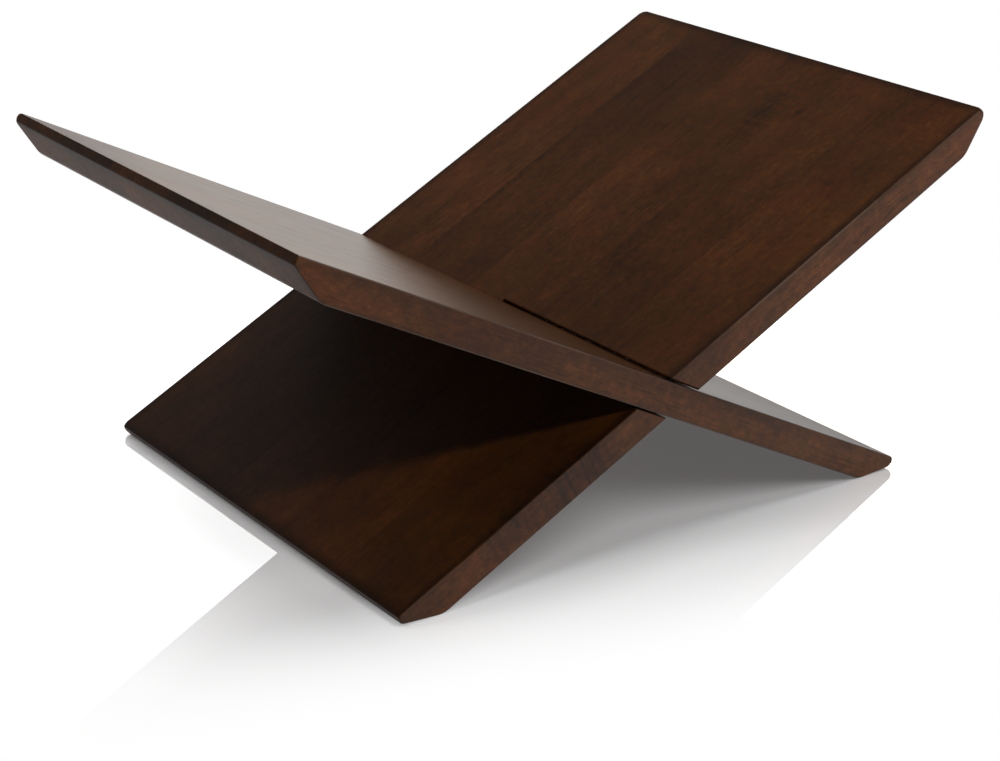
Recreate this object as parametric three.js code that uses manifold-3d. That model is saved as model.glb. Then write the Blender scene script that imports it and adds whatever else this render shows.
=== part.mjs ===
// A book stand of two equal boards that cross as an X. Each board has a slot half its width deep,
// and the two slots slide into each other. Millimetres and degrees, +Z up, floor at z = 0.

import * as THREE from 'three';
import { mergeVertices } from 'three/addons/utils/BufferGeometryUtils.js';
import Module from 'manifold-3d';

// Driving dimensions of one board.
const BOARD_LENGTH = 436; // along its top face, from tip to tip
const BOARD_WIDTH = 298;
const BOARD_THICKNESS = 18;
const END_LAND = 5.2; // square edge left under the top face at each end
const BEVEL_ANGLE = 30.6; // of each end's bevel, from the underside
const HEEL_RADIUS = 13.5; // rounding between bevel and underside
const NOSE_RADIUS = 1.4; // rounding above and below the end land
const ARRIS_RADIUS = 1.2; // rounding along the long edges
const CORNER_RADIUS = 3; // of the four corners, seen from above

// How the boards stand and cross.
const INCLINE = 27; // slope of each board from the floor
const FOOT_TO_CROSSING = 190; // along the top face, from the foot tip
const SLOT_GAP = 0.8; // from the other board's faces to the slot's walls
const SLOT_RELIEF = 0.8; // how much more the upper wall stands off at the top face
const SLOT_END_GAP = 0.5; // between the two slots' ends

// How finely the roundings are cut into flats.
const HEEL_STEPS = 5;
const NOSE_STEPS = 3;
const ARRIS_STEPS = 2;
const CORNER_STEPS = 5;

// Stained and lacquered dark wood.
const WOOD = { color: 0x3d281b, roughness: 0.42, metalness: 0 };

const wasm = await Module();
wasm.setup();

const radians = THREE.MathUtils.degToRad;

// A closed geometry as a solid that can be cut.
function toSolid(geometry) {
  const bare = geometry.clone();
  bare.deleteAttribute('normal');
  bare.deleteAttribute('uv');
  const merged = mergeVertices(bare, 1e-4);
  const vertProperties = Float32Array.from(merged.attributes.position.array);
  const triVerts = Uint32Array.from(merged.index.array);
  return new wasm.Manifold(new wasm.Mesh({ numProp: 3, vertProperties, triVerts }));
}

function toGeometry(solid) {
  const { vertProperties, triVerts } = solid.getMesh();
  const geometry = new THREE.BufferGeometry();
  geometry.setAttribute('position', new THREE.BufferAttribute(vertProperties, 3));
  geometry.setIndex(new THREE.BufferAttribute(triVerts, 1));
  geometry.computeVertexNormals();
  return geometry;
}

// Points of a rounding that turns from one direction of travel to the next, in degrees.
function roundedCorner(corner, radius, from, to, steps) {
  const turn = radians(to - from);
  const setBack = radius * Math.tan(turn / 2);
  const start = new THREE.Vector2(Math.cos(radians(from)), Math.sin(radians(from)));
  const first = corner.clone().addScaledVector(start, -setBack);
  const centre = first.clone().add(new THREE.Vector2(-start.y, start.x).multiplyScalar(radius));
  const points = [];
  for (let i = 0; i <= steps; i += 1) {
    points.push(first.clone().rotateAround(centre, (turn * i) / steps));
  }
  return points;
}

// The heel's rounding. Its last flat faces the floor when the board stands at its incline, and so
// it is the narrow face that the board rests on.
function heelRounding(corner) {
  const arcEnd = 2 * INCLINE - BEVEL_ANGLE;
  const setBack = HEEL_RADIUS * Math.tan(radians(BEVEL_ANGLE) / 2);
  const centre = new THREE.Vector2(corner.x + setBack, corner.y + HEEL_RADIUS);
  const angles = [BEVEL_ANGLE];
  for (let i = HEEL_STEPS - 1; i >= 0; i -= 1) {
    angles.push((arcEnd * i) / (HEEL_STEPS - 1));
  }
  return angles.map((angle) => new THREE.Vector2(
    centre.x - HEEL_RADIUS * Math.sin(radians(angle)),
    centre.y - HEEL_RADIUS * Math.cos(radians(angle)),
  ));
}

// One end of a board seen from its long edge, from the top face down to the underside. Its tip is
// at x = 0, the board runs on along +X, and the top face is at y = 0.
function endOutline() {
  const bevelLength = (BOARD_THICKNESS - END_LAND) / Math.tan(radians(BEVEL_ANGLE));
  const tip = new THREE.Vector2(0, 0);
  const chin = new THREE.Vector2(0, -END_LAND);
  const heel = new THREE.Vector2(bevelLength, -BOARD_THICKNESS);
  return [
    ...roundedCorner(tip, NOSE_RADIUS, 180, 270, NOSE_STEPS),
    ...roundedCorner(chin, NOSE_RADIUS, 270, 360 - BEVEL_ANGLE, NOSE_STEPS),
    ...heelRounding(heel),
  ];
}

// The whole board's outline, with x = 0 at the crossing line.
function boardOutline() {
  const foot = endOutline().map((p) => new THREE.Vector2(p.x - FOOT_TO_CROSSING, p.y));
  const top = endOutline().map(
    (p) => new THREE.Vector2(BOARD_LENGTH - FOOT_TO_CROSSING - p.x, p.y),
  );
  return new THREE.Shape([...foot, ...top.reverse()]);
}

// An outline in length and height, carried along the board's width from one place to another.
function acrossBoard(shape, from, to, rounding = 0) {
  const geometry = new THREE.ExtrudeGeometry(shape, {
    depth: to - from - 2 * rounding,
    bevelEnabled: rounding > 0,
    bevelSize: rounding,
    bevelThickness: rounding,
    bevelOffset: -rounding,
    bevelSegments: ARRIS_STEPS,
    curveSegments: 1,
  });
  geometry.rotateX(Math.PI / 2);
  geometry.translate(0, to - rounding, 0);
  return toSolid(geometry);
}

// The board seen from above, with its four rounded corners, as tall as the board.
function planSolid() {
  const halfWidth = BOARD_WIDTH / 2;
  const foot = -FOOT_TO_CROSSING;
  const top = BOARD_LENGTH - FOOT_TO_CROSSING;
  const corners = [
    [new THREE.Vector2(foot, -halfWidth), 270],
    [new THREE.Vector2(top, -halfWidth), 360],
    [new THREE.Vector2(top, halfWidth), 450],
    [new THREE.Vector2(foot, halfWidth), 540],
  ];
  const points = corners.flatMap(
    ([corner, heading]) => roundedCorner(corner, CORNER_RADIUS, heading, heading + 90, CORNER_STEPS),
  );
  const plan = new THREE.ExtrudeGeometry(new THREE.Shape(points), {
    depth: 2 * BOARD_THICKNESS,
    bevelEnabled: false,
  });
  plan.translate(0, 0, -1.5 * BOARD_THICKNESS);
  return toSolid(plan);
}

// What the slot takes out of a board: the space of the other board, which falls through it at
// twice the incline, and the gaps to its faces.
function slotSolid() {
  const crossAngle = radians(2 * INCLINE);
  const along = (gap, depth) => (gap + depth * Math.cos(crossAngle)) / Math.sin(crossAngle);
  const over = BOARD_THICKNESS / 2; // how far the cut runs past the board's faces
  const bottom = BOARD_THICKNESS + over;
  const reliefPerDepth = SLOT_RELIEF / BOARD_THICKNESS;
  const upperGap = (depth) => SLOT_GAP + SLOT_RELIEF - reliefPerDepth * depth;
  const otherBoard = -(BOARD_THICKNESS + SLOT_GAP);
  const shape = new THREE.Shape([
    new THREE.Vector2(along(otherBoard, -over), over),
    new THREE.Vector2(along(otherBoard, bottom), -bottom),
    new THREE.Vector2(along(upperGap(bottom), bottom), -bottom),
    new THREE.Vector2(along(upperGap(-over), -over), over),
  ]);
  return acrossBoard(shape, -BOARD_WIDTH, SLOT_END_GAP / 2);
}

function boardGeometry() {
  const blank = acrossBoard(boardOutline(), -BOARD_WIDTH / 2, BOARD_WIDTH / 2, ARRIS_RADIUS);
  return toGeometry(blank.intersect(planSolid()).subtract(slotSolid()));
}

// Height of the crossing line over the floor, when the heel's flat lies on it.
function crossingHeight() {
  const [, flatEnd] = heelRounding(new THREE.Vector2(
    (BOARD_THICKNESS - END_LAND) / Math.tan(radians(BEVEL_ANGLE)) - FOOT_TO_CROSSING,
    -BOARD_THICKNESS,
  ));
  return -(flatEnd.x * Math.sin(radians(INCLINE)) + flatEnd.y * Math.cos(radians(INCLINE)));
}

const stand = new THREE.Group();
stand.name = 'crossed_board_book_stand';

const geometry = boardGeometry();
for (const [name, turn] of [['left_foot_board', 0], ['right_foot_board', 180]]) {
  const board = new THREE.Mesh(geometry.clone(), new THREE.MeshStandardMaterial(WOOD));
  board.name = name;
  board.rotation.y = radians(-INCLINE);
  board.position.z = crossingHeight();
  const turned = new THREE.Group();
  turned.rotation.z = radians(turn);
  turned.add(board);
  stand.add(turned);
}

export default stand;
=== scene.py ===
# %% [markdown]
# # A crossed-board book stand
# Two equal boards of dark stained wood are pushed into each other by their slots, and stand as an X.
# This lesson dresses them: fine boards with eased edges, a stained and lacquered wood that is made
# of noise alone, a white glossy table, soft lamps and the photograph's camera.
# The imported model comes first. It is a fixed frame that says where each board is and how it moves.

# %% Load the frame
import math

import bmesh
import bpy
from mathutils import Matrix, Vector


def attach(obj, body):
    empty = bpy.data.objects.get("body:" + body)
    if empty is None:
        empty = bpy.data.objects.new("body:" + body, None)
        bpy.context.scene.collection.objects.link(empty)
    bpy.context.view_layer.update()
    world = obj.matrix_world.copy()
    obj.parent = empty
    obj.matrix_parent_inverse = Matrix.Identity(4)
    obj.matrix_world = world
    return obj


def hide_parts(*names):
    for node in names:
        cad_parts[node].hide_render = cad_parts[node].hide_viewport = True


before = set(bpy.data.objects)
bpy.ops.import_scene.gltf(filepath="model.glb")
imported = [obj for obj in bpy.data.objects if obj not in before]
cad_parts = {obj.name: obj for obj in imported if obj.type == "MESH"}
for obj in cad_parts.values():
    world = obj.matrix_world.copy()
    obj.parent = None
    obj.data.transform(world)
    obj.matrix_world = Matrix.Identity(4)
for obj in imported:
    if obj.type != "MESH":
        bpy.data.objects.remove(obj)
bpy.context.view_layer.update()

# %% [markdown]
# ## The sizes of a board
# Blender works in metres here. These are the sizes that a maker would cut to, and the rest is
# worked out from them. A board is 18 mm thick. Each end is bevelled on its underside, down to a
# square edge of 5 mm, and where the bevel meets the underside the heel is rounded.

# %% Board sizes
BOARD_LENGTH = 0.436  # along the top face, tip to tip
BOARD_WIDTH = 0.298
BOARD_THICKNESS = 0.018
END_LAND = 0.0052
BEVEL_ANGLE = math.radians(30.6)
HEEL_RADIUS = 0.0135
INCLINE = math.radians(27)
FOOT_TO_CROSSING = 0.190
SLOT_GAP = 0.0008  # at the slot's lower wall
SLOT_MOUTH_GAP = 0.0010  # at its upper wall, at the top face
SLOT_FOOT_GAP = 0.0004  # at its upper wall, at the underside
SLOT_END_GAP = 0.0005
BOARD_TURNS = {"left_foot_board": 0.0, "right_foot_board": math.pi}

# %% [markdown]
# ## How high the boards cross
# The stand rests on its heels. The lowest place of a heel is where its rounding meets the bevel, so
# the height of the crossing line follows from the slope of the board and from that place.

# %% Crossing height
bevel_length = (BOARD_THICKNESS - END_LAND) / math.tan(BEVEL_ANGLE)
heel_set_back = HEEL_RADIUS * math.tan(BEVEL_ANGLE / 2)
heel_along = bevel_length - FOOT_TO_CROSSING + heel_set_back - HEEL_RADIUS * math.sin(BEVEL_ANGLE)
heel_depth = HEEL_RADIUS * (1 - math.cos(BEVEL_ANGLE)) - BOARD_THICKNESS
crossing_height = -(heel_along * math.sin(INCLINE) + heel_depth * math.cos(INCLINE))
print("the boards cross at a height of", round(crossing_height, 4))


# %% [markdown]
# ## A helper for nodes
# Geometry Nodes, materials and the world are all trees of nodes. This helper adds one node, sets its
# options, and fills its inputs: a socket is linked, and anything else is set as a value.

# %% Add a node
def add(tree, kind, inputs=None, **options):
    made = tree.nodes.new(kind)
    for name, value in options.items():
        setattr(made, name, value)
    for key, value in (inputs or {}).items():
        if isinstance(value, bpy.types.NodeSocket):
            tree.links.new(value, made.inputs[key])
        else:
            made.inputs[key].default_value = value
    return made


def maths(tree, operation, *values, clamp=False):
    numbered = dict(enumerate(values))
    return add(tree, "ShaderNodeMath", numbered, operation=operation, use_clamp=clamp).outputs[0]


def vector(tree, x=0.0, y=0.0, z=0.0):
    return add(tree, "ShaderNodeCombineXYZ", {"X": x, "Y": y, "Z": z}).outputs[0]


# %% [markdown]
# ## The board as a rule
# A board follows a rule: an outline with two bevelled ends, carried across the width, less a slot
# that the other board falls through. Geometry Nodes suit that well. The outline is a closed curve
# of six corners whose places are sums of the named inputs, and Fillet Curve rounds the two heels.

# %% Inputs of the board's tree
BOARD_INPUTS = {
    "Length": BOARD_LENGTH,
    "Width": BOARD_WIDTH,
    "Thickness": BOARD_THICKNESS,
    "End land": END_LAND,
    "Bevel angle": BEVEL_ANGLE,
    "Heel radius": HEEL_RADIUS,
    "Foot to crossing": FOOT_TO_CROSSING,
    "Incline": INCLINE,
    "Slot gap": SLOT_GAP,
    "Slot mouth gap": SLOT_MOUTH_GAP,
    "Slot foot gap": SLOT_FOOT_GAP,
    "Slot end gap": SLOT_END_GAP,
    "Crossing height": crossing_height,
    "Turn": 0.0,
}
HEEL_STEPS = 14


def board_tree_with_inputs():
    tree = bpy.data.node_groups.new("slotted_board", "GeometryNodeTree")
    for name, value in BOARD_INPUTS.items():
        socket = tree.interface.new_socket(name, in_out="INPUT", socket_type="NodeSocketFloat")
        socket.default_value = value
    tree.interface.new_socket("Wood", in_out="INPUT", socket_type="NodeSocketMaterial")
    tree.interface.new_socket("Board", in_out="OUTPUT", socket_type="NodeSocketGeometry")
    return tree, tree.nodes.new("NodeGroupInput").outputs


# %% The outline with its rounded heels
def board_outline(tree, size):
    foot = maths(tree, "MULTIPLY", size["Foot to crossing"], -1.0)
    top = maths(tree, "ADD", foot, size["Length"])
    drop = maths(tree, "SUBTRACT", size["Thickness"], size["End land"])
    bevel = maths(tree, "DIVIDE", drop, maths(tree, "TANGENT", size["Bevel angle"]))
    chin = maths(tree, "MULTIPLY", size["End land"], -1.0)
    under = maths(tree, "MULTIPLY", size["Thickness"], -1.0)
    corners = [
        vector(tree, foot, 0.0),
        vector(tree, foot, chin),
        vector(tree, maths(tree, "ADD", foot, bevel), under),
        vector(tree, maths(tree, "SUBTRACT", top, bevel), under),
        vector(tree, top, chin),
        vector(tree, top, 0.0),
    ]
    index = add(tree, "GeometryNodeInputIndex").outputs[0]
    place = add(tree, "GeometryNodeIndexSwitch", {"Index": index}, data_type="VECTOR")
    while len(place.index_switch_items) < len(corners):
        place.index_switch_items.new()
    for number, corner in enumerate(corners):
        tree.links.new(corner, place.inputs[number + 1])
    ring = add(tree, "GeometryNodeCurvePrimitiveCircle", {"Resolution": len(corners)})
    moved = {0: ring.outputs[0], "Position": place.outputs[0]}
    outline = add(tree, "GeometryNodeSetPosition", moved)
    middle = (len(corners) - 1) / 2
    from_middle = maths(tree, "ABSOLUTE", maths(tree, "SUBTRACT", index, middle))
    is_heel = maths(tree, "LESS_THAN", from_middle, 1.0)  # true for the two middle corners
    heels = {
        "Curve": outline.outputs[0],
        "Count": HEEL_STEPS,
        "Radius": maths(tree, "MULTIPLY", is_heel, size["Heel radius"]),
    }
    return add(tree, "GeometryNodeFilletCurve", heels, mode="POLY").outputs[0]


# %% [markdown]
# An outline becomes a block in three steps: fill it, push the face up, and close the bottom with the
# same face turned over. A quarter turn then lays its height across the board. Both the board and
# the slot's cutter are made so.

# %% Carry an outline across the board
WELD_DISTANCE = 1e-6


def block_from_outline(tree, outline, low, high):
    face = add(tree, "GeometryNodeFillCurve", {"Curve": outline}, mode="NGONS").outputs[0]
    lift = vector(tree, z=maths(tree, "SUBTRACT", high, low))
    push = {"Mesh": face, "Offset": lift, "Individual": False}
    pushed = add(tree, "GeometryNodeExtrudeMesh", push)
    bottom = add(tree, "GeometryNodeFlipFaces", {"Mesh": face}).outputs[0]
    joined = add(tree, "GeometryNodeJoinGeometry")
    tree.links.new(bottom, joined.inputs[0])
    tree.links.new(pushed.outputs[0], joined.inputs[0])
    seams = {0: joined.outputs[0], "Distance": WELD_DISTANCE}
    closed = add(tree, "GeometryNodeMergeByDistance", seams)
    place = {
        "Geometry": closed.outputs[0],
        "Translation": vector(tree, y=high),
        "Rotation": (math.pi / 2, 0.0, 0.0),
    }
    return add(tree, "GeometryNodeTransform", place).outputs[0]


# %% [markdown]
# ## The slot
# Seen from the board, the other one falls through it at twice the incline. The cutter is a
# four-cornered outline: its lower wall clears the other board's underside, and its upper wall the
# top face, with a gap that narrows from this board's top face to its underside, so that no light
# shows through. The cutter runs from the long edge to half the width.

# %% The slot's cutter
OVERCUT = 0.009  # how far the cutter runs past the board's faces


def slot_cutter(tree, size):
    angle = maths(tree, "MULTIPLY", size["Incline"], 2.0)
    sine = maths(tree, "SINE", angle)
    cosine = maths(tree, "COSINE", angle)
    bottom = maths(tree, "ADD", size["Thickness"], OVERCUT)
    clearance = maths(tree, "ADD", size["Thickness"], size["Slot gap"])
    lower_gap = maths(tree, "MULTIPLY", clearance, -1.0)
    narrowing = maths(tree, "SUBTRACT", size["Slot mouth gap"], size["Slot foot gap"])
    relief = maths(tree, "DIVIDE", narrowing, size["Thickness"])

    def corner(gap, depth):
        fallen = maths(tree, "MULTIPLY", depth, cosine)
        along = maths(tree, "DIVIDE", maths(tree, "ADD", gap, fallen), sine)
        return vector(tree, along, maths(tree, "MULTIPLY", depth, -1.0))

    def upper_gap(depth):
        narrower = maths(tree, "MULTIPLY", relief, depth)
        return maths(tree, "SUBTRACT", size["Slot mouth gap"], narrower)

    corners = {
        "Point 1": corner(lower_gap, -OVERCUT),
        "Point 2": corner(lower_gap, bottom),
        "Point 3": corner(upper_gap(bottom), bottom),
        "Point 4": corner(upper_gap(-OVERCUT), -OVERCUT),
    }
    outline = add(tree, "GeometryNodeCurvePrimitiveQuadrilateral", corners, mode="POINTS")
    outside = maths(tree, "MULTIPLY", size["Width"], -1.0)
    slot_end = maths(tree, "DIVIDE", size["Slot end gap"], 2.0)
    return block_from_outline(tree, outline.outputs[0], outside, slot_end)


# %% [markdown]
# ## Cut the slot and stand the board up
# The tree ends with the board in its place: sloped by the incline, turned about the upright axis,
# and lifted to the crossing height. Realize Instances and Set Material close the tree, so that the
# result is an ordinary mesh with its wood on it.

# %% The whole tree
def make_board_tree():
    tree, size = board_tree_with_inputs()
    half = maths(tree, "DIVIDE", size["Width"], 2.0)
    near = maths(tree, "MULTIPLY", half, -1.0)
    blank = block_from_outline(tree, board_outline(tree, size), near, half)
    cut = add(tree, "GeometryNodeMeshBoolean", operation="DIFFERENCE", solver="EXACT")
    tree.links.new(blank, cut.inputs["Mesh 1"])
    tree.links.new(slot_cutter(tree, size), cut.inputs["Mesh 2"])
    slope = maths(tree, "MULTIPLY", size["Incline"], -1.0)
    stand_up = {
        "Geometry": cut.outputs[0],
        "Translation": vector(tree, z=size["Crossing height"]),
        "Rotation": vector(tree, y=slope, z=size["Turn"]),
    }
    standing = add(tree, "GeometryNodeTransform", stand_up).outputs[0]
    plain = add(tree, "GeometryNodeRealizeInstances", {"Geometry": standing}).outputs[0]
    dressed = add(tree, "GeometryNodeSetMaterial", {"Geometry": plain, "Material": size["Wood"]})
    add(tree, "NodeGroupOutput", {0: dressed.outputs[0]})
    return tree


board_tree = make_board_tree()
print("the board's tree has", len(board_tree.nodes), "nodes")


# %% [markdown]
# ## From tree to mesh
# A modifier's inputs are set by their identifiers before the object is evaluated. Then
# new_from_object gives the finished mesh, and the modifier goes.

# %% Evaluate a board
def input_identifier(tree, name):
    sockets = tree.interface.items_tree
    return next(s.identifier for s in sockets if s.name == name and s.in_out == "INPUT")


def plain_mesh(piece):
    bpy.context.view_layer.update()
    evaluated = piece.evaluated_get(bpy.context.evaluated_depsgraph_get())
    mesh = bpy.data.meshes.new_from_object(evaluated)
    piece.modifiers.clear()
    piece.data = mesh
    mesh.name = piece.name


def make_board(name, turn, wood):
    piece = bpy.data.objects.new(name + "_wood", bpy.data.meshes.new(name))
    bpy.context.scene.collection.objects.link(piece)
    rule = piece.modifiers.new("board", "NODES")
    rule.node_group = board_tree
    rule[input_identifier(board_tree, "Turn")] = turn
    rule[input_identifier(board_tree, "Wood")] = wood
    plain_mesh(piece)
    piece.data.materials.clear()
    piece.data.materials.append(wood)
    piece.data.polygons.foreach_set("material_index", [0] * len(piece.data.polygons))
    return piece


# %% [markdown]
# ## Ease the edges
# No sharp edge leaves a joiner's shop: sandpaper takes each one off. The Bevel modifier does the
# same wherever two faces meet at more than a small angle, so the stepped heel stays as it is.

# %% Ease the edges
ARRIS_EASE = 0.0007
SHARP_EDGE = math.radians(20)
EASE_STEPS = 3


def ease_edges(piece):
    bevel = piece.modifiers.new("eased edges", "BEVEL")
    bevel.limit_method = "ANGLE"
    bevel.angle_limit = SHARP_EDGE
    bevel.width = ARRIS_EASE
    bevel.segments = EASE_STEPS
    bevel.use_clamp_overlap = False
    plain_mesh(piece)


# %% [markdown]
# ## Knock the corners round
# In use each corner has been knocked round, one more than another. A ball that touches the three
# faces of a corner gives the shape: planes that touch the ball cut the corner off, bit by bit.
# Weighted normals then keep the large faces flat beside the small roundings.

# %% Where and how much
KNOCKS = {
    # (the end, the long edge): radius
    "left_foot_board": {
        ("foot", "-Y"): 0.0014,
        ("foot", "+Y"): 0.0020,
        ("top", "-Y"): 0.0019,
        ("top", "+Y"): 0.0022,
    },
    "right_foot_board": {
        ("foot", "-Y"): 0.0020,
        ("foot", "+Y"): 0.0017,
        ("top", "-Y"): 0.0020,
        ("top", "+Y"): 0.0008,
    },
}
KNOCK_STEPS = 6
CORNER_REACH = 0.001  # how far from the board's outer edges a corner may lie
FLAT_WEIGHT = 90  # how much more the large faces count for the normals


# %% Find a board's corners
def board_place(turn):
    lift = Matrix.Translation((0, 0, crossing_height))
    return lift @ Matrix.Rotation(turn, 4, "Z") @ Matrix.Rotation(-INCLINE, 4, "Y")


def find_corners(piece, turn, knocks):
    to_board = board_place(turn).inverted()
    mesh = piece.data
    corners = []
    for vertex in mesh.vertices:
        place = to_board @ vertex.co
        at_foot = place.x < CORNER_REACH - FOOT_TO_CROSSING
        at_top = place.x > BOARD_LENGTH - FOOT_TO_CROSSING - CORNER_REACH
        if (at_foot or at_top) and abs(place.y) > BOARD_WIDTH / 2 - CORNER_REACH:
            radius = knocks["foot" if at_foot else "top", "+Y" if place.y > 0 else "-Y"]
            faces = [f.normal.copy() for f in mesh.polygons if vertex.index in f.vertices]
            corners.append((vertex.co.copy(), faces, radius))
    return corners


# %% Round the corners
def cut_corner(shape, corner, faces, radius):
    inside = Vector([face.dot(corner) - radius for face in faces])
    middle = Matrix(faces).inverted() @ inside
    for i in range(1, KNOCK_STEPS - 1):
        for j in range(1, KNOCK_STEPS - i):
            shares = (i, j, KNOCK_STEPS - i - j)
            out = sum((share * face for share, face in zip(shares, faces)), Vector()).normalized()
            every = shape.verts[:] + shape.edges[:] + shape.faces[:]
            cut = bmesh.ops.bisect_plane(
                shape, geom=every, plane_co=middle + radius * out, plane_no=out, clear_outer=True
            )
            rim = [part for part in cut["geom_cut"] if isinstance(part, bmesh.types.BMEdge)]
            bmesh.ops.edgeloop_fill(shape, edges=rim)


def round_corners(piece, corners):
    shape = bmesh.new()
    shape.from_mesh(piece.data)
    for corner, faces, radius in corners:
        cut_corner(shape, corner, faces, radius)
    shape.to_mesh(piece.data)
    shape.free()
    piece.data.shade_smooth()
    normals = piece.modifiers.new("flat faces stay flat", "WEIGHTED_NORMAL")
    normals.mode = "FACE_AREA"
    normals.weight = FLAT_WEIGHT
    plain_mesh(piece)


# %% [markdown]
# ## The wood, in the board's own frame
# Solid wood isn't a picture stuck on a face: the grain runs through the board and comes out at its
# ends. So the whole finish is worked out in space, from one place vector: along the board,
# across it, and up through it. A Mapping node of the Texture kind undoes the board's slope and
# turn, and both boards then share the same node group, each with staves of its own.
#
# Every cloud, streak and fibre is a noise that is drawn out along the grain. A table holds them all,
# so that the coarse and the fine ones can be weighed against each other.

# %% Helpers for the wood
NOISES = {
    # name: (cells in a metre along the grain, and across it, detail, roughness)
    "figure": (12.0, 17.0, 7.0, 0.85),
    "streaks": (6.5, 42.0, 3.0, 0.55),
    "fibres": (22.0, 520.0, 4.0, 0.62),
    "specks": (210.0, 300.0, 3.0, 0.80),
    "clouds": (4.0, 7.0, 1.0, 0.5),
    "ring drift": (3.0, 12.0, 2.0, 0.5),
    "pore lines": (32.0, 1000.0, 2.0, 0.55),
    "pore crowds": (7.0, 70.0, 1.0, 0.5),
    "curl drift": (60.0, 25.0, 1.0, 0.5),
    "ruddy places": (24.0, 32.0, 5.0, 0.75),
}


def vector_maths(tree, operation, *values):
    made = add(tree, "ShaderNodeVectorMath", dict(enumerate(values)), operation=operation)
    return made.outputs["Value" if operation in ("LENGTH", "DOT_PRODUCT") else "Vector"]


def axes_of(tree, place):
    return add(tree, "ShaderNodeSeparateXYZ", {0: place}).outputs


def noise(tree, place, name):
    along, across, detail, rough = NOISES[name]
    drawn_out = vector_maths(tree, "MULTIPLY", place, (along, across, across))
    inputs = {"Vector": drawn_out, "Scale": 1.0, "Detail": detail, "Roughness": rough}
    return add(tree, "ShaderNodeTexNoise", inputs).outputs["Fac"]


def uneven_bands(tree, count, detail):
    inputs = {"W": count, "Scale": 1.0, "Detail": detail}
    return add(tree, "ShaderNodeTexNoise", inputs, noise_dimensions="1D").outputs["Fac"]


def between(tree, value, low, high, out_low=0.0, out_high=1.0):
    inputs = {"Value": value, 1: low, 2: high, 3: out_low, 4: out_high}
    return add(tree, "ShaderNodeMapRange", inputs, interpolation_type="SMOOTHSTEP").outputs[0]


def mixed(tree, factor, one, two, blend="MIX"):
    inputs = {0: factor, 6: one, 7: two}
    return add(tree, "ShaderNodeMix", inputs, data_type="RGBA", blend_type=blend).outputs[2]


# %% [markdown]
# ## Staves
# A wide board is glued up from narrow staves. Each one comes from another place in another log, so
# it has a tone and a figure of its own. A colour ramp without blending holds a board's staves: its
# stops say where each one starts across the board, and its three channels say how light it is,
# from where in the log it comes, and how its grain leans.

# %% Staves and their grain
STAVES = {
    # start, from the +Y edge of the board: (tone, place in the log, lean)
    "left_foot_board": {
        0.00: (0.50, 0.15, 0.60),
        0.19: (0.34, 0.62, 0.35),
        0.39: (0.62, 0.91, 0.55),
        0.60: (0.42, 0.37, 0.70),
        0.79: (0.60, 0.78, 0.45),
    },
    "right_foot_board": {
        0.00: (0.58, 0.22, 0.30),
        0.21: (0.40, 0.83, 0.65),
        0.41: (0.55, 0.48, 0.50),
        0.61: (0.36, 0.05, 0.40),
        0.81: (0.52, 0.69, 0.60),
    },
}
LOG_SPREAD = (1.9, 0.7, 0.45)  # how far apart in the log two staves may lie
GRAIN_SLOPE = 0.05  # how far the grain may run out of true


def filled_ramp(tree, factor, stops, blend="LINEAR"):
    ramp = add(tree, "ShaderNodeValToRGB", {"Fac": factor})
    ramp.color_ramp.interpolation = blend
    elements = ramp.color_ramp.elements
    while len(elements) < len(stops):
        elements.new(0.5)
    for element, (position, colour) in zip(elements, stops.items()):
        element.position = position
        element.color = (*colour, 1.0)
    return ramp.outputs["Color"]


def stave_draw(tree, place, staves):
    from_edge = maths(tree, "MULTIPLY_ADD", axes_of(tree, place)[1], -1 / BOARD_WIDTH, 0.5)
    return filled_ramp(tree, from_edge, staves, "CONSTANT")


def place_in_log(tree, place, draw):
    centred = vector_maths(tree, "SUBTRACT", draw, (0.5, 0.5, 0.5))
    shift = vector_maths(tree, "MULTIPLY", centred, LOG_SPREAD)
    slope = maths(tree, "MULTIPLY", axes_of(tree, place)[0], GRAIN_SLOPE)
    lean = axes_of(tree, centred)
    sideways = maths(tree, "MULTIPLY", slope, lean[2])
    upwards = maths(tree, "MULTIPLY", slope, lean[1])
    moved = vector_maths(tree, "ADD", place, shift)
    return vector_maths(tree, "ADD", moved, vector(tree, 0.0, sideways, upwards))


# %% [markdown]
# ## Rings and pores
# Growth rings are slow bands: a noise of the distance from the log's heart, so their spacing is
# never even. Pores are short dark lines: a noise drawn out thirty times, of which only the
# highest part counts, and they crowd together in some places and are rare in others.

# %% The grain's own patterns
RING_SPACING = 0.0055
RING_WANDER = 0.022  # how far a ring may stray from its circle
RING_DETAIL = 2.0
HEART_DEPTH = 0.085  # how far below the board the log's heart lies
PORE_LEVELS = (0.52, 0.68)  # from a pore's edge to its middle
CROWD_LEVELS = (0.35, 0.65, 0.2, 1.0)  # and how much of the pores shows in between


def ring_pattern(tree, log_place):
    axes = axes_of(tree, log_place)
    depth = maths(tree, "ADD", axes[2], HEART_DEPTH)
    squares = maths(tree, "ADD", maths(tree, "POWER", axes[1], 2.0), maths(tree, "POWER", depth, 2.0))
    drift = noise(tree, log_place, "ring drift")
    wandering = maths(tree, "MULTIPLY_ADD", drift, RING_WANDER, maths(tree, "SQRT", squares))
    return uneven_bands(tree, maths(tree, "DIVIDE", wandering, RING_SPACING), RING_DETAIL)


def pore_pattern(tree, log_place):
    lines = between(tree, noise(tree, log_place, "pore lines"), *PORE_LEVELS)
    crowds = between(tree, noise(tree, log_place, "pore crowds"), *CROWD_LEVELS)
    return maths(tree, "MULTIPLY", lines, crowds)
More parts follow.
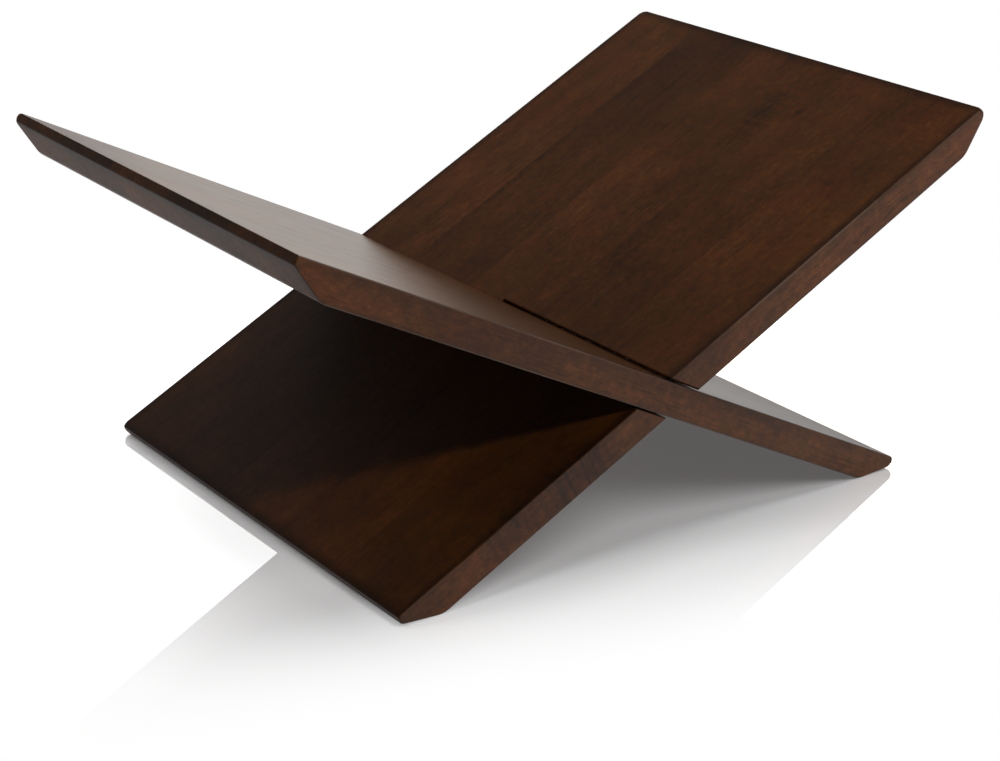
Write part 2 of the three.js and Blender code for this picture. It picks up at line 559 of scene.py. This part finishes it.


# %% [markdown]
# ## Curl, knots and dark streaks
# In a few places the fibres wave, and the stain shows the waves as fine stripes across the grain.
# In others there is a small knot with a dark tail, or a long streak that took more stain, and one
# broad patch beside the crossing is painted shade. Each is an ellipsoid in the board: a middle, three
# radii and a strength.

# %% Curl, knots and streaks
CURLS = {
    "left_foot_board": (
        ((-0.070, -0.149, -0.008), (0.030, 0.016, 0.022), 1.0),
        ((-0.118, -0.149, -0.008), (0.022, 0.012, 0.022), 0.6),
        ((0.190, -0.022, 0.0), (0.034, 0.014, 0.02), 0.7),
    ),
    "right_foot_board": (
        ((0.120, -0.090, 0.0), (0.040, 0.020, 0.03), 0.7),
    ),
}
KNOTS_AND_SHADE = {
    "left_foot_board": (
        ((0.202, -0.0435, 0.0), (0.005, 0.003, 0.01), 0.9),
        ((0.172, -0.052, 0.0), (0.045, 0.009, 0.02), 0.35),
        ((0.030, 0.072, 0.0), (0.050, 0.020, 0.02), 0.20),
        # painted shade: a broad patch that darkens the top face beside the crossing
        ((0.010, -0.070, 0.0), (0.065, 0.130, 0.002), 0.36),
        ((-0.010, -0.149, -0.010), (0.110, 0.006, 0.020), 0.38),
        ((-0.112, -0.149, -0.004), (0.0012, 0.004, 0.005), 0.9),
    ),
    "right_foot_board": (
        ((-0.008, 0.149, -0.0135), (0.007, 0.006, 0.003), 0.8),
        ((-0.091, 0.149, -0.007), (0.004, 0.006, 0.005), 0.8),
        ((-0.150, 0.149, -0.015), (0.003, 0.006, 0.003), 0.6),
        ((0.060, 0.149, -0.003), (0.060, 0.006, 0.004), 0.25),
        ((0.120, 0.149, -0.009), (0.170, 0.006, 0.020), 0.55),
        ((-0.060, 0.149, -0.002), (0.055, 0.006, 0.004), 0.5),
    ),
}
SPOT_FADE = (0.2, 1.25)  # where a spot starts to fade and where it ends, in radii
CURL_SPACING = 0.0042
CURL_WANDER = 1.6  # how far a stripe may stray, in stripes
CURL_DETAIL = 1.5


def spots(tree, place, wanted):
    total = 0.0
    for middle, radii, strength in wanted:
        shifted = vector_maths(tree, "SUBTRACT", place, middle)
        reach = vector_maths(tree, "LENGTH", vector_maths(tree, "DIVIDE", shifted, radii))
        total = maths(tree, "MAXIMUM", total, between(tree, reach, *SPOT_FADE, strength, 0.0))
    return total


def curl_stripes(tree, place):
    even = maths(tree, "DIVIDE", axes_of(tree, place)[0], CURL_SPACING)
    drift = noise(tree, place, "curl drift")
    return uneven_bands(tree, maths(tree, "MULTIPLY_ADD", drift, CURL_WANDER, even), CURL_DETAIL)


# %% [markdown]
# ## Ends, sides and edges
# End grain drinks the lacquer, so the ends are dull and look paler and greyer. The long sides are
# painted
# lighter and a little greyer: painted light that stands in for the light falling on them from the
# front.
# How much of a face is end grain is the squared cosine between its normal and the grain, and the
# sides are found in the same way. The finish gathers towards the edges of the wide faces and of the
# sides, which darkens them, and along the arris itself lies a painted highlight.

# %% Masks for ends, sides and edges
EDGE_SHADE_WIDTH = 0.008  # on the wide faces
SIDE_SHADE_BELOW = 0.003  # on the sides, along the underside
SIDE_SHADE_ABOVE = 0.009  # and along the top face
TOP_SHADE = 0.75  # how strong it is along the top face
ARRIS_BAND = (0.0004, 0.0010)  # how far from the arris the painted highlight reaches


def facing(tree, axis):
    normal = add(tree, "ShaderNodeNewGeometry").outputs["True Normal"]
    cosine = vector_maths(tree, "DOT_PRODUCT", normal, axis)
    return maths(tree, "MULTIPLY", cosine, cosine)


def distances_inside(tree, place):
    axes = axes_of(tree, place)
    to_side = maths(tree, "SUBTRACT", BOARD_WIDTH / 2, maths(tree, "ABSOLUTE", axes[1]))
    from_middle = maths(tree, "SUBTRACT", axes[0], BOARD_LENGTH / 2 - FOOT_TO_CROSSING)
    to_end = maths(tree, "SUBTRACT", BOARD_LENGTH / 2, maths(tree, "ABSOLUTE", from_middle))
    up = maths(tree, "ABSOLUTE", maths(tree, "ADD", axes[2], BOARD_THICKNESS / 2))
    return to_side, to_end, maths(tree, "SUBTRACT", BOARD_THICKNESS / 2, up)


def edge_masks(tree, place):
    to_side, to_end, to_face = distances_inside(tree, place)
    nearest = maths(tree, "MINIMUM", to_side, to_end)
    shade = between(tree, nearest, 0.0, EDGE_SHADE_WIDTH, 1.0, 0.0)
    height = axes_of(tree, place)[2]
    below = between(tree, height, -BOARD_THICKNESS, SIDE_SHADE_BELOW - BOARD_THICKNESS, 1.0, 0.0)
    above = between(tree, height, -SIDE_SHADE_ABOVE, 0.0, 0.0, TOP_SHADE)
    side_shade = maths(tree, "MAXIMUM", above, below)
    arris = between(tree, maths(tree, "ADD", to_side, to_face), *ARRIS_BAND, 1.0, 0.0)
    return shade, side_shade, arris


# %% [markdown]
# The slot's upper wall, which faces the other board's top face, gets painted shade: its colour is
# darkened, and it loses its gloss. Its place follows from the gaps: it starts at the mouth in the
# top face and leans to the foot in the underside.

# %% The slot's upper wall
SLOT_MOUTH = SLOT_MOUTH_GAP / math.sin(2 * INCLINE)  # from the crossing line, along the board
SLOT_FOOT = (SLOT_FOOT_GAP + BOARD_THICKNESS * math.cos(2 * INCLINE)) / math.sin(2 * INCLINE)
WALL_LEAN = (SLOT_FOOT - SLOT_MOUTH) / BOARD_THICKNESS
WALL_BAND = (0.0008, 0.0018)  # how far from the wall the mask reaches


def shaded_slot_wall(tree, place):
    axes = axes_of(tree, place)
    upright = maths(tree, "MULTIPLY_ADD", axes[2], WALL_LEAN, axes[0])
    from_wall = maths(tree, "ABSOLUTE", maths(tree, "SUBTRACT", upright, SLOT_MOUTH))
    in_slot = maths(tree, "LESS_THAN", axes[1], SLOT_END_GAP)
    return maths(tree, "MULTIPLY", between(tree, from_wall, *WALL_BAND, 1.0, 0.0), in_slot)


# %% [markdown]
# ## How light the stain is
# All patterns swing about the same middle. Each one's swing is scaled by its strength, and the sum
# is the tone: where on the ramp of stain colours a place lies. Pores only darken.

# %% The tone
STAIN_RAMP = {
    0.00: (0.0144, 0.0052, 0.0011),
    0.30: (0.0262, 0.0088, 0.0015),
    0.60: (0.0440, 0.0140, 0.0021),
    1.00: (0.0780, 0.0255, 0.0040),
}
TONE_STRENGTHS = {
    "figure": 1.45,
    "rings": 0.22,
    "streaks": 0.24,
    "fibres": 0.26,
    "specks": 1.10,
    "clouds": 0.75,
    "stave": 0.34,
}
MIDDLE_TONE = 0.5
PORE_TONE = -0.28


def stain_tone(tree, place, log_place, stave, fibres, pores):
    patterns = {
        "figure": noise(tree, log_place, "figure"),
        "rings": ring_pattern(tree, log_place),
        "streaks": noise(tree, log_place, "streaks"),
        "fibres": fibres,
        "specks": noise(tree, place, "specks"),
        "clouds": noise(tree, log_place, "clouds"),
        "stave": axes_of(tree, stave)[0],
    }
    tone = MIDDLE_TONE
    for name, strength in TONE_STRENGTHS.items():
        swing = maths(tree, "SUBTRACT", patterns[name], MIDDLE_TONE)
        tone = maths(tree, "MULTIPLY_ADD", swing, strength, tone)
    return maths(tree, "MULTIPLY_ADD", pores, PORE_TONE, tone, clamp=True)


# %% [markdown]
# ## The stain's colour
# The ramp gives the colour, and tints change it in places: a slow noise makes it ruddier, as where a
# wiped stain lies thicker, and the masks bring in curl, knots, ends, sides, edges and the slot.
# Along the arris lies a painted highlight, broken up by the fibres. It is full from a little above
# the crossing and about a third as strong below it.

# %% Tints
RED_CAST = (1.04, 0.90, 0.90, 1.0)
CURL_TINT = (0.48, 0.55, 0.72, 1.0)
# darkens the knots and streaks, and the patch of painted shade beside the crossing
KNOT_AND_SHADE_TINT = (0.42, 0.42, 0.50, 1.0)
END_TINT = (1.5, 1.8, 3.2, 1.0)
# painted light: the long sides are painted about twice as light and a little greyer, standing in for
# the light that falls on them from the front
SIDE_PAINTED_LIGHT_TINT = (1.98, 2.0, 2.65, 1.0)
EDGE_TINT = (0.38, 0.38, 0.38, 1.0)
SIDE_EDGE_TINT = (0.60, 0.67, 0.80, 1.0)
# painted shade: how much darker the slot's upper wall is painted
SLOT_SHADE_TINT = (0.35, 0.35, 0.35, 1.0)
# painted highlight: the light colour laid along the arris
ARRIS_HIGHLIGHT_COLOUR = (0.110, 0.072, 0.052, 1.0)
RUDDY_LEVELS = (0.38, 0.62)
CURL_LEVELS = (0.40, 0.60)
HIGHLIGHT_BREAKUP = (0.3, 0.6, 0.2, 0.7)  # of the fibres, and how much of the painted highlight shows in between
HIGHLIGHT_ALONG = (0.0, 0.08, 0.35, 1.0)  # along the board, and how much of the painted highlight shows in between


def tinted(tree, factor, colour, tint):
    return mixed(tree, factor, colour, mixed(tree, 1.0, colour, tint, "MULTIPLY"))


def grain_colour(tree, place, tone, curl, knots_and_shade):
    stain = filled_ramp(tree, tone, STAIN_RAMP)
    ruddy = between(tree, noise(tree, place, "ruddy places"), *RUDDY_LEVELS)
    stain = tinted(tree, ruddy, stain, RED_CAST)
    stripes = between(tree, curl_stripes(tree, place), *CURL_LEVELS)
    stain = tinted(tree, maths(tree, "MULTIPLY", curl, stripes), stain, CURL_TINT)
    return tinted(tree, knots_and_shade, stain, KNOT_AND_SHADE_TINT)


def edge_colour(tree, place, stain, end_grain, side, fibres):
    stain = tinted(tree, end_grain, stain, END_TINT)
    stain = tinted(tree, side, stain, SIDE_PAINTED_LIGHT_TINT)
    shade, side_shade, arris = edge_masks(tree, place)
    face_shade = maths(tree, "MULTIPLY", shade, maths(tree, "SUBTRACT", 1.0, side))
    stain = tinted(tree, face_shade, stain, EDGE_TINT)
    stain = tinted(tree, maths(tree, "MULTIPLY", side_shade, side), stain, SIDE_EDGE_TINT)
    # painted highlight along the arris, broken up by the fibres and weaker below the crossing
    arris_highlight = maths(tree, "MULTIPLY", arris, between(tree, fibres, *HIGHLIGHT_BREAKUP))
    highlight_strength = between(tree, axes_of(tree, place)[0], *HIGHLIGHT_ALONG)
    return mixed(tree, maths(tree, "MULTIPLY", arris_highlight, highlight_strength), stain, ARRIS_HIGHLIGHT_COLOUR)


# %% [markdown]
# ## The stained wood group
# The group puts it all together. The same patterns give the roughness and the relief: pores and
# fibres roughen the lacquer a little, and end grain and the slot's wall lose their gloss.

# %% Build the group
FACE_GLOSS = 0.5  # the shader's own, for lacquer that lies on top
END_GLOSS = 0.24
END_LEVELS = (0.02, 0.25)
LACQUER_ROUGH = 0.29
PORE_ROUGH = 0.10
FIBRE_ROUGH = 0.08
END_ROUGH = 0.25
FIBRE_RELIEF = 0.55  # beside a pore's depth of 1
GROUP_INPUTS = {
    "Place": "NodeSocketVector",
    "Stave": "NodeSocketColor",
    "Curl": "NodeSocketFloat",
    "Knots and shade": "NodeSocketFloat",
    "Grain axis": "NodeSocketVector",
    "Side axis": "NodeSocketVector",
}
GROUP_OUTPUTS = {
    "Colour": "NodeSocketColor",
    "Gloss": "NodeSocketFloat",
    "Roughness": "NodeSocketFloat",
    "Relief": "NodeSocketFloat",
}


def make_wood_group():
    tree = bpy.data.node_groups.new("stained_staves", "ShaderNodeTree")
    for name, kind in GROUP_INPUTS.items():
        tree.interface.new_socket(name, in_out="INPUT", socket_type=kind)
    for name, kind in GROUP_OUTPUTS.items():
        tree.interface.new_socket(name, in_out="OUTPUT", socket_type=kind)
    given = tree.nodes.new("NodeGroupInput").outputs
    place = given["Place"]
    log_place = place_in_log(tree, place, given["Stave"])
    fibres = noise(tree, log_place, "fibres")
    pores = pore_pattern(tree, log_place)
    end_grain = facing(tree, given["Grain axis"])
    side = facing(tree, given["Side axis"])
    # painted shade on the slot's upper wall, which also loses its gloss
    wall_shade = shaded_slot_wall(tree, place)
    tone = stain_tone(tree, place, log_place, given["Stave"], fibres, pores)
    stain = grain_colour(tree, place, tone, given["Curl"], given["Knots and shade"])
    stain = edge_colour(tree, place, stain, end_grain, side, fibres)
    gloss = between(tree, end_grain, *END_LEVELS, FACE_GLOSS, END_GLOSS)
    rough = maths(tree, "MULTIPLY_ADD", pores, PORE_ROUGH, LACQUER_ROUGH)
    rough = maths(tree, "MULTIPLY_ADD", fibres, FIBRE_ROUGH, rough)
    thirsty = between(tree, end_grain, *END_LEVELS)
    fibre_relief = maths(tree, "MULTIPLY", fibres, FIBRE_RELIEF)
    add(tree, "NodeGroupOutput", {
        "Colour": tinted(tree, wall_shade, stain, SLOT_SHADE_TINT),
        "Gloss": maths(tree, "MULTIPLY", gloss, maths(tree, "SUBTRACT", 1.0, wall_shade)),
        "Roughness": maths(tree, "MULTIPLY_ADD", thirsty, END_ROUGH, rough),
        "Relief": maths(tree, "MULTIPLY_ADD", pores, -1.0, fibre_relief),
    })
    return tree


wood_group = make_wood_group()
print("the wood's group has", len(wood_group.nodes), "nodes")


# %% [markdown]
# ## One material for each board
# The satin lacquer is the shader's own gloss. Rubbed lacquer mirrors less face on, and as much as
# any at a glance, which a darker Specular Tint gives. The relief is tiny: a few hundredths of a
# millimetre.

# %% Make the wood of a board
RELIEF = 0.00003
RELIEF_STRENGTH = 0.35
FACING_GLOSS = (0.3, 0.3, 0.3, 1.0)


def make_wood(name, turn):
    wood = bpy.data.materials.new(name + "_stained_wood")
    wood.use_nodes = True
    tree = wood.node_tree
    shader = tree.nodes["Principled BSDF"]
    into_board = add(tree, "ShaderNodeMapping", {
        "Vector": add(tree, "ShaderNodeTexCoord").outputs["Object"],
        "Location": (0.0, 0.0, crossing_height),
        "Rotation": (0.0, -INCLINE, turn),
    }, vector_type="TEXTURE").outputs[0]
    group = add(tree, "ShaderNodeGroup", node_tree=wood_group)
    given = {
        "Place": into_board,
        "Stave": stave_draw(tree, into_board, STAVES[name]),
        "Curl": spots(tree, into_board, CURLS[name]),
        "Knots and shade": spots(tree, into_board, KNOTS_AND_SHADE[name]),
    }
    for socket, value in given.items():
        tree.links.new(value, group.inputs[socket])
    turned = board_place(turn).to_3x3()
    group.inputs["Grain axis"].default_value = turned @ Vector((1, 0, 0))
    group.inputs["Side axis"].default_value = turned @ Vector((0, 1, 0))
    tree.links.new(group.outputs["Colour"], shader.inputs["Base Color"])
    tree.links.new(group.outputs["Roughness"], shader.inputs["Roughness"])
    tree.links.new(group.outputs["Gloss"], shader.inputs["Specular IOR Level"])
    shader.inputs["Specular Tint"].default_value = FACING_GLOSS
    relief = {"Height": group.outputs["Relief"], "Strength": RELIEF_STRENGTH, "Distance": RELIEF}
    tree.links.new(add(tree, "ShaderNodeBump", relief).outputs[0], shader.inputs["Normal"])
    return wood


# %% [markdown]
# ## Make both boards
# Each board rides on its CAD body, and the CAD part that it replaces is hidden. Each gets a wood of
# its own.

# %% The two boards
pieces = {}
for name, turn in BOARD_TURNS.items():
    board = pieces[name] = make_board(name, turn, make_wood(name, turn))
    corners = find_corners(board, turn, KNOCKS[name])
    ease_edges(board)
    round_corners(board, corners)
    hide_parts(name)
    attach(board, name.replace("_foot", ""))
    print(board.name, "has", len(board.data.polygons), "faces and", len(corners), "round corners")

# %% [markdown]
# ## The camera
# The camera stands where the photograph's did. Its place, heading and lens come from a fit of the
# boards' straight edges, with the lens given for a sensor 36 mm wide.

# %% Camera
CAMERA_PLACE = (-0.7099, -0.9903, 0.5328)
CAMERA_HEADING = math.radians(-35.581)
CAMERA_DIP = math.radians(21.866)
CAMERA_ROLL = math.radians(0.135)
CAMERA_LENS = 82.17
CAMERA_SENSOR = 36
CAMERA_NEAREST = 0.01

camera = bpy.data.objects.new("camera", bpy.data.cameras.new("camera"))
bpy.context.scene.collection.objects.link(camera)
camera.data.sensor_width = CAMERA_SENSOR
camera.data.lens = CAMERA_LENS
camera.data.clip_start = CAMERA_NEAREST
camera.matrix_world = (
    Matrix.Translation(CAMERA_PLACE)
    @ Matrix.Rotation(CAMERA_HEADING, 4, "Z")
    @ Matrix.Rotation(math.pi / 2 - CAMERA_DIP, 4, "X")
    @ Matrix.Rotation(CAMERA_ROLL, 4, "Z")
)
bpy.context.scene.camera = camera

# %% [markdown]
# ## The table
# The stand is photographed on glossy white acrylic. Matt white catches its soft shadow, and over it
# lies a clear mirror. Away from the stand, and sooner towards the front, both fade into plain white
# for the camera and for the lacquer. In the light that it throws back, the table stays matt white.

# %% Floor
FLOOR_SIZE = 12.0
FLOOR_WHITE = (0.9, 0.9, 0.9, 1.0)
MIRROR_SEEN = 0.5  # how much of the mirror the camera sees
MIRROR_UNSEEN = 0.06  # and how much the wood sees
SHADOW_LIFT = 0.09  # how light the deepest shadow is
LACQUER_LIFT = 0.3  # how much lighter the lacquer sees it
FADE_FROM, FADE_TO = 0.22, 0.40  # from the middle of the stand
FRONT_FADE_FROM, FRONT_FADE_TO = -0.14, -0.27  # and towards the front
FRONT_SLANT = 0.25  # how far the front fade's line is turned


def make_acrylic():
    acrylic = bpy.data.materials.new("white_acrylic")
    acrylic.use_nodes = True
    tree = acrylic.node_tree
    tree.nodes.clear()
    rays = add(tree, "ShaderNodeLightPath").outputs
    seen = rays["Is Camera Ray"]
    mirrored = maths(tree, "MAXIMUM", seen, rays["Is Glossy Ray"])
    place = add(tree, "ShaderNodeTexCoord").outputs["Object"]
    distance = add(tree, "ShaderNodeVectorMath", {0: place}, operation="LENGTH").outputs["Value"]
    axes = add(tree, "ShaderNodeSeparateXYZ", {0: place}).outputs
    forward = maths(tree, "MULTIPLY_ADD", axes[0], FRONT_SLANT, axes[1])
    front_fade = between(tree, forward, FRONT_FADE_FROM, FRONT_FADE_TO)
    fade = maths(tree, "MAXIMUM", between(tree, distance, FADE_FROM, FADE_TO), front_fade)
    mirror = between(tree, seen, 0.0, 1.0, MIRROR_UNSEEN, MIRROR_SEEN)
    lacquer_lift = maths(tree, "MULTIPLY", rays["Is Glossy Ray"], LACQUER_LIFT)
    lift = {"Strength": maths(tree, "MULTIPLY_ADD", seen, SHADOW_LIFT, lacquer_lift)}
    glow = {"Strength": mirrored}
    matt = add(tree, "ShaderNodeBsdfDiffuse", {"Color": FLOOR_WHITE}).outputs[0]
    clear = add(tree, "ShaderNodeBsdfAnisotropic", {"Color": mirror, "Roughness": 0.0}).outputs[0]
    lifted = add(tree, "ShaderNodeEmission", lift).outputs[0]
    glowing = add(tree, "ShaderNodeEmission", glow).outputs[0]
    coated = add(tree, "ShaderNodeAddShader", {0: matt, 1: clear}).outputs[0]
    near = add(tree, "ShaderNodeAddShader", {0: coated, 1: lifted}).outputs[0]
    faded = maths(tree, "MULTIPLY", fade, mirrored)
    whole = add(tree, "ShaderNodeMixShader", {0: faded, 1: near, 2: glowing}).outputs[0]
    add(tree, "ShaderNodeOutputMaterial", {"Surface": whole})
    return acrylic


half = FLOOR_SIZE / 2
floor_corners = [(-half, -half, 0), (half, -half, 0), (half, half, 0), (-half, half, 0)]
floor_mesh = bpy.data.meshes.new("table")
floor_mesh.from_pydata(floor_corners, [], [(0, 1, 2, 3)])
floor = bpy.data.objects.new("table", floor_mesh)
bpy.context.scene.collection.objects.link(floor)
floor.data.materials.append(make_acrylic())
pieces["table"] = floor

# %% [markdown]
# ## Light
# A small lamp in front draws the shadow's edge across the lower board, and large soft ones fill the
# rest. The small one lights only the boards, and two others light only the table, so that the dark
# wood and the white table each get their own level. Only the low rim lamp mirrors in the lacquer,
# which otherwise mirrors the dim studio.

# %% Lamps
LAMPS = {
    # name: (bearing from the front towards the right, height in degrees, size, watts)
    "key": (0, 42, 0.16, 32.0),
    "rim": (140, 14, 1.0, 4.0),
    "left": (228, 50, 1.0, 10.5),
    "back": (180, 25, 1.0, 6.5),
    "high": (180, 50, 1.0, 6.0),
    "top": (0, 89, 1.2, 22.0),
    "table front": (0, 50, 1.2, 16.5),
    "table back": (155, 38, 1.2, 14.0),
}
LIT_BY = {
    # name: the only pieces that it lights; the other lamps light them all
    "key": tuple(BOARD_TURNS),
    "table front": ("table",),
    "table back": ("table",),
}
LAMP_DISTANCE = 2.4
RIM_COLOUR = (1.0, 0.80, 0.64)
LAMP_WHITE = (1.0, 1.0, 1.0)


def lamp_place(bearing, height):
    around, up = math.radians(bearing), math.radians(height)
    flat = LAMP_DISTANCE * math.cos(up)
    return Vector((flat * math.sin(around), -flat * math.cos(around), LAMP_DISTANCE * math.sin(up)))


for lamp_name, (bearing, height, lamp_size, watts) in LAMPS.items():
    lamp = bpy.data.objects.new(lamp_name, bpy.data.lights.new(lamp_name, "AREA"))
    bpy.context.scene.collection.objects.link(lamp)
    lamp.location = lamp_place(bearing, height)
    lamp.rotation_mode = "QUATERNION"
    lamp.rotation_quaternion = (-lamp.location).to_track_quat("-Z", "Y")
    lamp.data.size = lamp_size
    lamp.data.energy = watts
    lamp.data.color = RIM_COLOUR if lamp_name == "rim" else LAMP_WHITE
    lamp.visible_glossy = lamp_name == "rim"
    if lamp_name in LIT_BY:
        lit = bpy.data.collections.new("lit by the " + lamp_name)
        for lit_name in LIT_BY[lamp_name]:
            lit.objects.link(pieces[lit_name])
        lamp.light_linking.receiver_collection = lit

# %% [markdown]
# ## The studio around
# The world has three faces. The camera and the table's mirror see plain white. The lacquer sees a
# dim studio that is lighter near the horizon. What is left over, the soft fill, is weak.

# %% World
STUDIO_HIGH = 0.13  # what the lacquer sees overhead
STUDIO_LOW = 0.26  # and at the horizon
STUDIO_EDGE = (0.10, 0.60)  # where the change starts and ends, as the sine of the height
FILL = 0.05


def make_world():
    world = bpy.data.worlds.new("studio")
    world.use_nodes = True
    tree = world.node_tree
    sky = tree.nodes["Background"]
    rays = add(tree, "ShaderNodeLightPath").outputs
    direction = add(tree, "ShaderNodeTexCoord").outputs["Generated"]
    height = add(tree, "ShaderNodeSeparateXYZ", {0: direction}).outputs[2]
    studio = between(tree, height, *STUDIO_EDGE, STUDIO_LOW, STUDIO_HIGH)
    lacquer = maths(tree, "MULTIPLY", rays["Is Glossy Ray"], maths(tree, "SUBTRACT", studio, FILL))
    dim = maths(tree, "ADD", lacquer, FILL)
    white = maths(tree, "MAXIMUM", rays["Is Camera Ray"], rays["Is Singular Ray"])
    tree.links.new(maths(tree, "MAXIMUM", dim, white), sky.inputs["Strength"])
    sky.inputs["Color"].default_value = (1.0, 1.0, 1.0, 1.0)
    return world


bpy.context.scene.world = make_world()
bpy.context.scene.view_settings.view_transform = "Standard"
